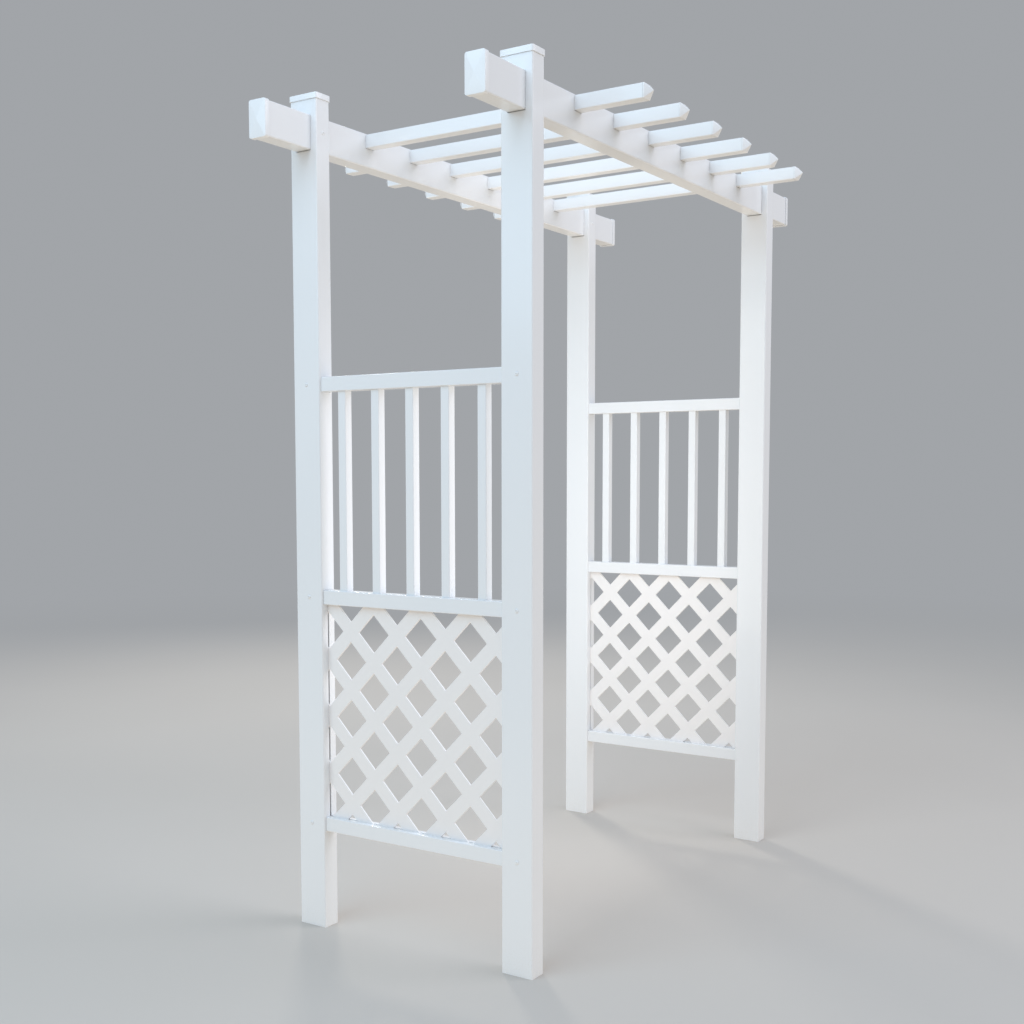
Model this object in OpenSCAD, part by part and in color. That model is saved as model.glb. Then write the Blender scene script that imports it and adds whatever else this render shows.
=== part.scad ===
// Garden arbor of hollow white vinyl: four rectangular posts, two beams that pass through them, six
// rafters let into the beams, and a side panel on each hand with rails, balusters and lattice.
// X runs across the passage, Y along the way through, Z up. The origin is on the ground, at the centre.

/* [Layout] */
// Distance between post centres across the passage
span_x = 1399; // [1200:1:1700]
// Distance between post centres along the way through
depth_y = 663; // [560:1:900]

/* [Posts] */
// Length of a post, from the ground to its cut top
post_len = 2201; // [2000:1:2500]
// Width of a post across the passage
post_w = 50.8; // [47:0.1:70]
// Depth of a post along the way through
post_d = 88.9; // [80:0.1:105]
// Wall thickness of a post
post_wall = 3.4; // [2.6:0.1:4.2]
// Outer corner radius of a post
post_corner = 3.4; // [1:0.1:4]

/* [Beams] */
// Length of a beam without its end caps
beam_len = 1778; // [1600:2:2200]
// Thickness of a beam
beam_w = 50.8; // [40:0.1:62]
// Height of a beam
beam_h = 88.9; // [75:0.1:110]
// Wall thickness of a beam
beam_wall = 2.5; // [2:0.1:3.4]
// Outer corner radius of a beam
beam_corner = 3.2; // [1:0.1:4]
// How far a beam's top lies below the cut top of the posts
beam_drop = 51.5; // [35:0.5:120]

/* [Rafters] */
// Length of a rafter without its end caps
rafter_len = 1087; // [960:1:1500]
// Width of a rafter
rafter_w = 34; // [26:0.1:40]
// Height of a rafter
rafter_h = 36; // [28:0.1:44]
// Wall thickness of a rafter
rafter_wall = 1.8; // [1.4:0.1:2.6]
// Outer corner radius of a rafter
rafter_corner = 2; // [0.8:0.1:3]
// Distance between rafter centres
rafter_pitch = 195; // [150:1:230]

/* [Rails] */
// Width of a rail across the passage
rail_w = 36; // [31:0.1:42]
// Height of a rail
rail_h = 38.1; // [34:0.1:46]
// Wall thickness of a rail
rail_wall = 2.2; // [1.6:0.1:3]
// Outer corner radius of a rail
rail_corner = 2; // [0.8:0.1:3]
// Underside of the bottom rail above the ground
low_rail_z = 264; // [180:1:340]
// Underside of the middle rail above the ground
mid_rail_z = 877; // [760:1:1000]
// Underside of the top rail above the ground
top_rail_z = 1438; // [1250:1:1600]
// How far a rail's end runs past the centre of the post
rail_past = 15; // [9:1:28]

/* [Balusters] */
// Side of a square baluster
baluster_side = 25.4; // [19:0.1:29]
// Wall thickness of a baluster
baluster_wall = 1.8; // [1.2:0.1:2.6]
// Outer corner radius of a baluster
baluster_corner = 2; // [0.8:0.1:3]
// Distance between baluster centres
baluster_pitch = 111; // [80:1:118]
// How far a baluster goes into each of its two rails
baluster_in = 18; // [8:1:20]

/* [Lattice] */
// Thickness of the lattice sheet
lattice_t = 4.8; // [3:0.1:8]
// Width of a lattice strip
strip_w = 38; // [24:0.5:50]
// Clear side of a lattice opening
lattice_open = 71; // [50:0.5:90]
// How far the sheet goes into the posts and the middle rail
lattice_in = 12; // [7:0.5:14]
// Offset of a strip crossing from the panel's centre along the way through
lattice_shift_y = -24; // [-60:1:60]
// Offset of a strip crossing from the panel's centre in height
lattice_shift_z = -14; // [-60:1:60]

/* [Caps] */
// Wall thickness of the post and beam caps
cap_wall = 2.5; // [1.6:0.1:3.4]
// Depth of the skirt of the post and beam caps
cap_skirt = 12; // [7:0.5:28]
// Rise of the low pyramid on the post and beam caps
cap_rise = 4; // [2:0.5:14]
// Wall thickness of the rafter caps
tip_wall = 1.3; // [1:0.1:2]
// Length of the collar of a rafter cap, flush with the bar
tip_collar = 3.5; // [2:0.5:14]
// Depth of the plug of a rafter cap inside the bar
tip_plug = 14; // [6:0.5:25]
// Length of the pyramid on the rafter caps
tip_rise = 18; // [8:0.5:30]

/* [Screws] */
// Diameter of a screw head
head_d = 10; // [7:0.1:12]
// Height of a screw head
head_h = 2.4; // [1.6:0.1:4]
// Diameter of a screw shank
shank_d = 4; // [3:0.1:5]
// How far a screw runs past the wall that it bites
screw_bite = 8; // [3:0.5:12]

/* [Fits] */
// Clearance round each piece in its routed hole
fit_gap = 0.3; // [0.2:0.05:0.5]
// Extra height of the routed hole under a beam
beam_slack = 1.4; // [0.4:0.1:3]
// Extra height of the routed hole under a rafter
rafter_slack = 0.6; // [0.4:0.1:2]
// Clearance round a screw shank
screw_gap = 0.15; // [0.1:0.05:0.3]

/* [Hidden] */
$fn = 32;

// Sides of the arbor, as signs along X and along Y
LEFT = -1;
RIGHT = 1;
FRONT = -1;
REAR = 1;

// Length added to a cut so that it clears the face it starts from
over = 1;

rafter_count = 6;
baluster_count = 5;
rail_levels = [low_rail_z, mid_rail_z, top_rail_z];

// Clear distance between the two posts of one side
clear_y = depth_y - post_d;
beam_top = post_len - beam_drop;
beam_base = beam_top - beam_h;
beam_mid = beam_top - beam_h / 2;
// A rafter lies close under the top wall of the beam
rafter_top = beam_top - beam_wall - fit_gap;
rafter_mid = rafter_top - rafter_h / 2;
low_rail_top = low_rail_z + rail_h;
panel_mid_z = (low_rail_top + mid_rail_z) / 2;
lattice_base = low_rail_z + rail_wall + fit_gap;
lattice_top = mid_rail_z + lattice_in;
baluster_base = mid_rail_z + rail_h - baluster_in;
baluster_top = top_rail_z + baluster_in;

white = [0.93, 0.95, 0.97];
warm_white = [0.95, 0.95, 0.93];

function rafter_x(i) = (i - (rafter_count + 1) / 2) * rafter_pitch;
function baluster_y(i) = (i - (baluster_count + 1) / 2) * baluster_pitch;

// Rectangle with round corners, centred
module rounded(w, h, r) {
    square([w - 2 * r, h], center = true);
    square([w, h - 2 * r], center = true);
    for (x = [-1, 1], y = [-1, 1]) translate([x * (w / 2 - r), y * (h / 2 - r)]) circle(r = r);
}

// Wall of a hollow extrusion
module tube_section(w, h, wall, r) {
    difference() {
        rounded(w, h, r);
        rounded(w - 2 * wall, h - 2 * wall, max(r - wall, 0.5));
    }
}

// Turns an upright form to lie along X, with its own X across and its own Y up
module along_x() { rotate([90, 0, 90]) children(); }

// Turns an upright form to lie along Y, with its own X across and its own Y up
module along_y() { rotate([90, 0, 0]) children(); }

// Four-sided point on a rectangular base
module pyramid(w, h, rise) {
    intersection() {
        rotate([90, 0, 0]) linear_extrude(h, center = true)
            polygon([[-w / 2, 0], [w / 2, 0], [0, rise]]);
        rotate([90, 0, 90]) linear_extrude(w, center = true)
            polygon([[-h / 2, 0], [h / 2, 0], [0, rise]]);
    }
}

// Cap that fits over the end of a tube: skirt, end wall and hollow point
module end_cap(w, h, r, wall, skirt, rise) {
    grip_w = w + 2 * fit_gap;
    grip_h = h + 2 * fit_gap;
    rim = fit_gap + wall;
    difference() {
        union() {
            translate([0, 0, -skirt]) linear_extrude(skirt + rim)
                rounded(w + 2 * rim, h + 2 * rim, r + rim);
            intersection() {
                translate([0, 0, rim]) pyramid(w + 2 * rim, h + 2 * rim, rise);
                linear_extrude(rim + rise) rounded(w + 2 * rim, h + 2 * rim, r + rim);
            }
        }
        translate([0, 0, -skirt - over]) linear_extrude(skirt + over + fit_gap)
            rounded(grip_w, grip_h, r + fit_gap);
        translate([0, 0, fit_gap]) pyramid(grip_w, grip_h, rise);
    }
}

// Cap that plugs the end of a rafter: plug, collar flush with the bar, and hollow point
module plug_cap() {
    plug_w = rafter_w - 2 * (rafter_wall + fit_gap);
    plug_h = rafter_h - 2 * (rafter_wall + fit_gap);
    plug_corner = max(rafter_corner - rafter_wall, 0.5);
    bore_w = plug_w - 2 * tip_wall;
    bore_h = plug_h - 2 * tip_wall;
    difference() {
        union() {
            translate([0, 0, -tip_plug]) linear_extrude(tip_plug + fit_gap + tip_wall)
                rounded(plug_w, plug_h, plug_corner);
            translate([0, 0, fit_gap]) linear_extrude(tip_collar)
                rounded(rafter_w, rafter_h, rafter_corner);
            intersection() {
                translate([0, 0, fit_gap + tip_collar]) pyramid(rafter_w, rafter_h, tip_rise);
                linear_extrude(fit_gap + tip_collar + tip_rise)
                    rounded(rafter_w, rafter_h, rafter_corner);
            }
        }
        translate([0, 0, -tip_plug - over]) linear_extrude(tip_plug + over + fit_gap + tip_collar)
            square([bore_w, bore_h], center = true);
        translate([0, 0, fit_gap + tip_collar])
            pyramid(bore_w, bore_h, tip_rise * bore_h / rafter_h);
    }
}

// Screw with a domed head on the plane z = 0 and its shank below it
module screw(length) {
    dome = head_h / 2;
    cylinder(d = head_d, h = head_h - dome);
    translate([0, 0, head_h - dome]) cylinder(d1 = head_d, d2 = head_d - 2 * dome, h = dome);
    translate([0, 0, -length]) cylinder(d = shank_d, h = length);
}

module post(side, end) {
    inner_y = -end * post_d / 2;
    hole_d = shank_d + 2 * screw_gap;
    color(white) translate([side * span_x / 2, end * depth_y / 2, 0])
    difference() {
        linear_extrude(post_len) tube_section(post_w, post_d, post_wall, post_corner);
        translate([0, 0, beam_base - fit_gap - beam_slack]) along_x()
            translate([0, (beam_h + 2 * fit_gap + beam_slack) / 2])
            linear_extrude(post_w + 2 * over, center = true)
            rounded(beam_w + 2 * fit_gap, beam_h + 2 * fit_gap + beam_slack, beam_corner);
        for (z = rail_levels) translate([0, inner_y, z + rail_h / 2]) along_y()
            linear_extrude(2 * (post_wall + over), center = true)
            rounded(rail_w + 2 * fit_gap, rail_h + 2 * fit_gap, rail_corner);
        translate([0, inner_y, panel_mid_z])
            cube([lattice_t + 2 * fit_gap, 2 * (post_wall + over), mid_rail_z - low_rail_top],
                center = true);
        for (z = rail_levels) translate([side * post_w / 2, 0, z + rail_h / 2])
            rotate([0, 90, 0]) cylinder(d = hole_d, h = 2 * (post_wall + over), center = true);
        translate([0, inner_y, beam_mid])
            rotate([90, 0, 0]) cylinder(d = hole_d, h = 2 * (post_wall + over), center = true);
    }
}

module post_cap(side, end) {
    color(white) translate([side * span_x / 2, end * depth_y / 2, post_len])
        end_cap(post_w, post_d, post_corner, cap_wall, cap_skirt, cap_rise);
}

// Beam with a routed hole for each rafter through both of its webs
module beam(end) {
    hole_h = rafter_h + 2 * fit_gap + rafter_slack;
    color(white) translate([0, end * depth_y / 2, beam_mid])
    difference() {
        along_x() linear_extrude(beam_len, center = true)
            tube_section(beam_w, beam_h, beam_wall, beam_corner);
        for (i = [1:rafter_count])
            translate([rafter_x(i), 0, rafter_top + fit_gap - hole_h / 2 - beam_mid])
            along_y() linear_extrude(beam_w + 2 * over, center = true)
            rounded(rafter_w + 2 * fit_gap, hole_h, rafter_corner);
        for (side = [LEFT, RIGHT])
            translate([side * span_x / 2, -end * beam_w / 2, 0]) rotate([90, 0, 0])
            cylinder(d = shank_d + 2 * screw_gap, h = 2 * (beam_wall + over), center = true);
    }
}

module beam_cap(side, end) {
    color(white) translate([side * beam_len / 2, end * depth_y / 2, beam_mid])
        rotate([0, 0, side == RIGHT ? 0 : 180]) along_x()
        end_cap(beam_w, beam_h, beam_corner, cap_wall, cap_skirt, cap_rise);
}

module rafter(i) {
    color(white) translate([rafter_x(i), 0, rafter_mid]) along_y()
        linear_extrude(rafter_len, center = true)
        tube_section(rafter_w, rafter_h, rafter_wall, rafter_corner);
}

module rafter_cap(i, end) {
    color(white) translate([rafter_x(i), end * rafter_len / 2, rafter_mid])
        rotate([0, 0, end == FRONT ? 0 : 180]) along_y() plug_cap();
}

// Plain rail from post to post, with the screw holes in its outer side
module rail_body(side, z) {
    rail_len = clear_y + post_d + 2 * rail_past;
    color(white) translate([side * span_x / 2, 0, z + rail_h / 2])
    difference() {
        along_y() linear_extrude(rail_len, center = true)
            tube_section(rail_w, rail_h, rail_wall, rail_corner);
        for (end = [FRONT, REAR]) translate([side * rail_w / 2, end * depth_y / 2, 0])
            rotate([0, 90, 0])
            cylinder(d = shank_d + 2 * screw_gap, h = 2 * (rail_wall + over), center = true);
    }
}

// Row of square holes for the balusters, through a wall at height z
module baluster_holes(side, z) {
    hole = baluster_side + 2 * fit_gap;
    for (i = [1:baluster_count])
        translate([side * span_x / 2, baluster_y(i), z])
        linear_extrude(2 * (rail_wall + over), center = true)
        rounded(hole, hole, baluster_corner);
}

// Groove for the lattice, through a wall at height z
module lattice_groove(side, z) {
    translate([side * span_x / 2, 0, z])
        cube([lattice_t + 2 * fit_gap, clear_y + 2 * (lattice_in + fit_gap), 2 * (rail_wall + over)],
            center = true);
}

module top_rail(side) {
    difference() {
        rail_body(side, top_rail_z);
        baluster_holes(side, top_rail_z);
    }
}

module middle_rail(side) {
    difference() {
        rail_body(side, mid_rail_z);
        baluster_holes(side, mid_rail_z + rail_h);
        lattice_groove(side, mid_rail_z);
    }
}

module bottom_rail(side) {
    difference() {
        rail_body(side, low_rail_z);
        lattice_groove(side, low_rail_top);
    }
}

module baluster(side, i) {
    color(white) translate([side * span_x / 2, baluster_y(i), baluster_base])
        linear_extrude(baluster_top - baluster_base)
        tube_section(baluster_side, baluster_side, baluster_wall, baluster_corner);
}

// Diamond openings of the sheet, about a strip crossing at the origin
module diamonds(reach) {
    half = (strip_w + lattice_open) / sqrt(2);
    steps = ceil(reach / half);
    for (i = [-steps:steps], j = [-steps:steps])
        if ((i + j) % 2 != 0) translate([i * half, j * half]) rotate(45)
            square(lattice_open, center = true);
}

// One-piece sheet; its plain rim is hidden in the grooves
module lattice(side) {
    rim = lattice_in / 2;
    sheet_h = lattice_top - lattice_base;
    window_h = mid_rail_z - low_rail_top;
    color(warm_white) translate([side * span_x / 2, 0, 0]) along_x()
    linear_extrude(lattice_t, center = true)
    difference() {
        translate([-clear_y / 2 - lattice_in, lattice_base])
            square([clear_y + 2 * lattice_in, sheet_h]);
        intersection() {
            translate([0, panel_mid_z]) square([clear_y + 2 * rim, window_h + 2 * rim], center = true);
            translate([lattice_shift_y, panel_mid_z + lattice_shift_z])
                diamonds(max(clear_y, window_h) / 2 + lattice_open);
        }
    }
}

// Screws through the outer face of each post into its three rails
module rail_screws() {
    length = (post_w - rail_w) / 2 + rail_wall + screw_bite;
    color(white) for (side = [LEFT, RIGHT], end = [FRONT, REAR], z = rail_levels)
        translate([side * (span_x + post_w) / 2, end * depth_y / 2, z + rail_h / 2])
        rotate([0, side * 90, 0]) screw(length);
}

// Screws through the inner face of each post into its beam
module beam_screws() {
    length = (post_d - beam_w) / 2 + beam_wall + screw_bite;
    color(white) for (side = [LEFT, RIGHT], end = [FRONT, REAR])
        translate([side * span_x / 2, end * (depth_y - post_d) / 2, beam_mid])
        rotate([end * 90, 0, 0]) screw(length);
}

post(LEFT, FRONT);  // post_left_front
post(LEFT, REAR);  // post_left_rear
post(RIGHT, FRONT);  // post_right_front
post(RIGHT, REAR);  // post_right_rear
post_cap(LEFT, FRONT);  // post_cap_left_front
post_cap(LEFT, REAR);  // post_cap_left_rear
post_cap(RIGHT, FRONT);  // post_cap_right_front
post_cap(RIGHT, REAR);  // post_cap_right_rear
beam(FRONT);  // beam_front
beam(REAR);  // beam_rear
beam_cap(LEFT, FRONT);  // beam_cap_left_front
beam_cap(LEFT, REAR);  // beam_cap_left_rear
beam_cap(RIGHT, FRONT);  // beam_cap_right_front
beam_cap(RIGHT, REAR);  // beam_cap_right_rear
rafter(1);  // rafter_1
rafter(2);  // rafter_2
rafter(3);  // rafter_3
rafter(4);  // rafter_4
rafter(5);  // rafter_5
rafter(6);  // rafter_6
rafter_cap(1, FRONT);  // rafter_cap_front_1
rafter_cap(2, FRONT);  // rafter_cap_front_2
rafter_cap(3, FRONT);  // rafter_cap_front_3
rafter_cap(4, FRONT);  // rafter_cap_front_4
rafter_cap(5, FRONT);  // rafter_cap_front_5
rafter_cap(6, FRONT);  // rafter_cap_front_6
rafter_cap(1, REAR);  // rafter_cap_rear_1
rafter_cap(2, REAR);  // rafter_cap_rear_2
rafter_cap(3, REAR);  // rafter_cap_rear_3
rafter_cap(4, REAR);  // rafter_cap_rear_4
rafter_cap(5, REAR);  // rafter_cap_rear_5
rafter_cap(6, REAR);  // rafter_cap_rear_6
top_rail(LEFT);  // top_rail_left
top_rail(RIGHT);  // top_rail_right
middle_rail(LEFT);  // middle_rail_left
middle_rail(RIGHT);  // middle_rail_right
bottom_rail(LEFT);  // bottom_rail_left
bottom_rail(RIGHT);  // bottom_rail_right
baluster(LEFT, 1);  // baluster_left_1
baluster(LEFT, 2);  // baluster_left_2
baluster(LEFT, 3);  // baluster_left_3
baluster(LEFT, 4);  // baluster_left_4
baluster(LEFT, 5);  // baluster_left_5
baluster(RIGHT, 1);  // baluster_right_1
baluster(RIGHT, 2);  // baluster_right_2
baluster(RIGHT, 3);  // baluster_right_3
baluster(RIGHT, 4);  // baluster_right_4
baluster(RIGHT, 5);  // baluster_right_5
lattice(LEFT);  // lattice_left
lattice(RIGHT);  // lattice_right
rail_screws();
beam_screws();
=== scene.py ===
"""Garden arbor of hollow white vinyl, dressed for rendering.

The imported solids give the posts, beams, rafters, rails and balusters their shape, and get
finishes here. The caps, the screws and the lattice sheets are rebuilt with softened edges, each
in the place of its solid. X runs across the passage, Y along the way through, Z up. Lengths are
in metres.
"""

from __future__ import annotations

import logging
import math
from dataclasses import dataclass, field
from enum import Enum
from typing import Any, Iterable, Sequence

import bmesh
import bpy
from mathutils import Matrix, Vector

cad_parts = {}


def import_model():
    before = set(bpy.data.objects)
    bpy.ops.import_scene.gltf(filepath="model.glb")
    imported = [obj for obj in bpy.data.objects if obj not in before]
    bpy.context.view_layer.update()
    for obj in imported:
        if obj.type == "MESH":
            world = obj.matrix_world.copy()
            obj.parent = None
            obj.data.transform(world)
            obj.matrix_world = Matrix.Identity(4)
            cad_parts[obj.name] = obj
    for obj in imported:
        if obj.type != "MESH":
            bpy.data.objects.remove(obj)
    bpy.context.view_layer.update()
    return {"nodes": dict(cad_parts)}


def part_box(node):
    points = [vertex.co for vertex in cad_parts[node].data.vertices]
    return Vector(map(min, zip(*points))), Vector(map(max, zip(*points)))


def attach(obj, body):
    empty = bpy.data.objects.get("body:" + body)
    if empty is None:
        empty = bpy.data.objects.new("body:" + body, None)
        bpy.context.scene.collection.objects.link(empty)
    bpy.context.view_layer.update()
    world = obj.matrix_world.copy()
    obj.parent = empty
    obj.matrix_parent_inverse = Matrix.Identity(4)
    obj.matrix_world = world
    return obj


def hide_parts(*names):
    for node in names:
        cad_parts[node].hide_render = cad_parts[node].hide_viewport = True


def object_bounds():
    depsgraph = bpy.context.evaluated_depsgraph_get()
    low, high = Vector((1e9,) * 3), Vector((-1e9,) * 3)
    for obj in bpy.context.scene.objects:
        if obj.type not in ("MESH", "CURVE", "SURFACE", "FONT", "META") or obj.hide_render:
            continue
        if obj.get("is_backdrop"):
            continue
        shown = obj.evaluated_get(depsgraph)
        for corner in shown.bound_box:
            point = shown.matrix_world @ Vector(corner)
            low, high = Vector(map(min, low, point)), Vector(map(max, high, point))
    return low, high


log = logging.getLogger("arbor")

Colour = tuple[float, float, float]
BODY = "root"
DUST: Colour = (0.70, 0.66, 0.59)
VINYL_IOR = 1.53
PICTURE = 1024  # Pixels on each side of the photograph
QUARTER_TURN = math.pi / 2
CORNER_POINTS = 5  # Points on each round corner of a ring
LEAST_CORNER = 0.0001  # Smallest corner radius towards the tip of a point


class Axis(Enum):
    """One of the three axes."""

    X = 0
    Y = 1
    Z = 2

    def way(self, sign: int = 1) -> Vector:
        """The direction along this axis, or against it where the sign is negative."""
        direction = Vector((0, 0, 0))
        direction[self.value] = sign
        return direction


class Place(Enum):
    """A place whose name is part of the solids' names, with its sign along an axis."""

    @property
    def word(self) -> str:
        """The place's name as the solids use it."""
        return self.name.lower()

    def outer(self, node: str) -> Vector:
        """The corner of a solid's box that lies furthest towards this place."""
        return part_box(node)[0 if self.value < 0 else 1]

    def inner(self, node: str) -> Vector:
        """The corner of a solid's box that lies furthest from this place."""
        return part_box(node)[1 if self.value < 0 else 0]


class Side(Place):
    """A side of the passage, as the sign of X."""

    LEFT = -1
    RIGHT = 1


class End(Place):
    """An end of the way through, as the sign of Y."""

    FRONT = -1
    REAR = 1


# Node trees


class Value:
    """A socket in a node tree that takes part in Python expressions."""

    def __init__(self, graph: Graph, socket: bpy.types.NodeSocket | None) -> None:
        """Wraps one output socket.

        Args:
            graph: The tree that the socket is in.
            socket: The output socket, or None for a node that has no output.
        """
        self.graph = graph
        self.socket = socket

    def _math(self, operation: str, *terms: Any) -> Value:
        """Adds a Math node with this tree's nodes as its terms."""
        return self.graph.node("ShaderNodeMath", {"operation": operation}, dict(enumerate(terms)))

    def __add__(self, other: Any) -> Value:
        """This value plus another."""
        return self._math("ADD", self, other)

    def __radd__(self, other: Any) -> Value:
        """A number plus this value."""
        return self._math("ADD", other, self)

    def __sub__(self, other: Any) -> Value:
        """This value less another."""
        return self._math("SUBTRACT", self, other)

    def __rsub__(self, other: Any) -> Value:
        """A number less this value."""
        return self._math("SUBTRACT", other, self)

    def __mul__(self, other: Any) -> Value:
        """This value times another."""
        return self._math("MULTIPLY", self, other)

    def __truediv__(self, other: Any) -> Value:
        """This value over another."""
        return self._math("DIVIDE", self, other)

    def __mod__(self, other: Any) -> Value:
        """The remainder of this value over another, never below zero."""
        return self._math("FLOORED_MODULO", self, other)

    def __gt__(self, other: Any) -> Value:
        """One where this value is above another, and zero elsewhere."""
        return self._math("GREATER_THAN", self, other)

    def __lt__(self, other: Any) -> Value:
        """One where this value is below another, and zero elsewhere."""
        return self._math("LESS_THAN", self, other)

    def magnitude(self) -> Value:
        """This value without its sign."""
        return self._math("ABSOLUTE", self)

    def limited(self) -> Value:
        """This value held between zero and one."""
        return self.graph.node("ShaderNodeClamp", {}, {"Value": self})

    def past(self, level: float, gain: float) -> Value:
        """How far this value is past a level, times a gain, held between zero and one."""
        return ((self - level) * gain).limited()


class Graph:
    """Adds nodes to a tree and links them."""

    def __init__(self, tree: bpy.types.NodeTree) -> None:
        """Starts on an empty tree.

        Args:
            tree: A shader or a geometry node tree.
        """
        self.tree = tree
        tree.nodes.clear()

    def node(self, kind: str, settings: dict[str, Any] | None = None,
             inputs: dict[Any, Any] | None = None, out: int | str = 0) -> Value:
        """Adds one node.

        Args:
            kind: The node's type.
            settings: Properties to set before the sockets.
            inputs: Values or links by socket name or number; a list links each of its items.
            out: The output that is returned.

        Returns:
            The chosen output, as a value.
        """
        node = self.tree.nodes.new(kind)
        for name, value in (settings or {}).items():
            setattr(node, name, value)
        for key, value in (inputs or {}).items():
            for item in value if isinstance(value, list) else [value]:
                if isinstance(item, Value):
                    self.tree.links.new(item.socket, node.inputs[key])
                else:
                    node.inputs[key].default_value = item
        outputs = node.outputs
        return Value(self, outputs[out]) if len(outputs) else Value(self, None)

    def mix(self, amount: Any, first: Any, second: Any) -> Value:
        """Mixes two colours.

        Args:
            amount: Share of the second colour.
            first: First colour, a value or four numbers.
            second: Second colour, a value or four numbers.

        Returns:
            The mixed colour.
        """
        return self.node("ShaderNodeMix", {"data_type": "RGBA"},
                         {0: amount, 6: first, 7: second}, 2)


class Shader(Graph):
    """The node tree of one material."""

    def __init__(self, name: str) -> None:
        """Starts a material.

        Args:
            name: The material's name.
        """
        self.material = bpy.data.materials.new(name)
        self.material.use_nodes = True
        super().__init__(self.material.node_tree)
        self.place = self.node("ShaderNodeTexCoord", out="Object")

    def noise(self, rate: float | Sequence[float], detail: float = 2.0,
              roughness: float = 0.5) -> Value:
        """Adds a noise pattern in the object's own space.

        Args:
            rate: Waves in a metre, one number or one each for X, Y and Z.
            detail: Number of finer layers.
            roughness: Strength of the finer layers.

        Returns:
            The pattern, from zero to one.
        """
        rates = (rate,) * 3 if isinstance(rate, float) else tuple(rate)
        spot = self.node("ShaderNodeMapping", {}, {"Vector": self.place, "Scale": rates})
        return self.node("ShaderNodeTexNoise", {},
                         {"Vector": spot, "Scale": 1.0, "Detail": detail, "Roughness": roughness})

    def facing_up(self) -> Value:
        """The upward part of the surface's direction."""
        normal = self.node("ShaderNodeNewGeometry", out="Normal")
        return self.node("ShaderNodeSeparateXYZ", {}, {0: normal}, 2)

    def height(self) -> Value:
        """The height above the ground."""
        return self.node("ShaderNodeSeparateXYZ", {}, {0: self.place}, 2)

    def bump(self, relief: Value, depth: float, strength: float) -> Value:
        """Turns a pattern into relief.

        Args:
            relief: The pattern.
            depth: Height of its hills in metres.
            strength: Share of the effect.

        Returns:
            The changed normal.
        """
        return self.node("ShaderNodeBump", {},
                         {"Height": relief, "Distance": depth, "Strength": strength})

    def finish(self, **inputs: Any) -> bpy.types.Material:
        """Closes the material with its surface.

        Args:
            **inputs: Sockets of the surface, with underscores for spaces.

        Returns:
            The material.
        """
        sockets = {key.replace("_", " "): value for key, value in inputs.items()}
        surface = self.node("ShaderNodeBsdfPrincipled", {}, sockets)
        self.node("ShaderNodeOutputMaterial", {}, {"Surface": surface})
        return self.material


def seen_directly(graph: Graph) -> Value:
    """One for rays from the camera and glossy or clear ones, zero for rays that carry light."""
    camera = graph.node("ShaderNodeLightPath", out="Is Camera Ray")
    glossy = graph.node("ShaderNodeLightPath", out="Is Glossy Ray")
    clear = graph.node("ShaderNodeLightPath", out="Is Transmission Ray")
    return (camera + glossy + clear).limited()


# Finishes


def opaque(colour: Colour) -> tuple[float, float, float, float]:
    """A colour with its alpha."""
    return (*colour, 1.0)


@dataclass(frozen=True)
class ExtrudedVinyl:
    """Hollow bar stock: faint lines along the bar, a soft sheen and a little weather."""

    name: str
    run: Axis
    tone: Colour = (0.86, 0.87, 0.885)
    shade: Colour = (0.815, 0.83, 0.85)
    roughness: float = 0.19
    line_rate: float = 420.0
    line_rate_along: float = 0.8
    wave_rate: float = 9.0
    wave_rate_along: float = 2.5
    peel_rate: float = 260.0
    patch_rate: float = 38.0
    speck_rate: float = 240.0
    settled_share: float = 0.30
    splash_share: float = 0.34
    splash_height: float = 0.16
    relief_depth: float = 0.00012

    def build(self) -> bpy.types.Material:
        """Builds the material.

        Returns:
            The material.
        """
        g = Shader(self.name)
        lines = g.noise(self._drawn_out(self.line_rate, self.line_rate_along), 3.0)
        waves = g.noise(self._drawn_out(self.wave_rate, self.wave_rate_along), 1.0)
        broad = g.noise((2.3, 2.3, 1.4), 3.0)
        peel = g.noise(self.peel_rate, 2.0)
        patch = g.noise(self.patch_rate, 5.0, 0.65)
        specks = g.noise(self.speck_rate, 3.0, 0.7)
        settled = g.facing_up().past(0.55, 3.0) * patch.past(0.42, 3.0)
        low = (1.0 - g.height() / self.splash_height).limited()
        splash = low * low * specks.past(0.5, 5.0)
        weather = (settled * self.settled_share + splash * self.splash_share).limited()
        plain = g.mix((broad * 1.5 - 0.25).limited(), opaque(self.tone), opaque(self.shade))
        colour = g.mix(weather, plain, opaque(DUST))
        gloss = self.roughness + (lines - 0.5) * 0.02 + (patch - 0.5) * 0.05 + weather * 0.4
        relief = lines * 0.03 + peel * 0.06 + waves * 5.0
        return g.finish(Base_Color=colour, Roughness=gloss.limited(), IOR=VINYL_IOR,
                        Normal=g.bump(relief, self.relief_depth, 0.5))

    def _drawn_out(self, across: float, along: float) -> list[float]:
        """The rates of a pattern that has its own rate along the bar."""
        rates = [across] * 3
        rates[self.run.value] = along
        return rates


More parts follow.
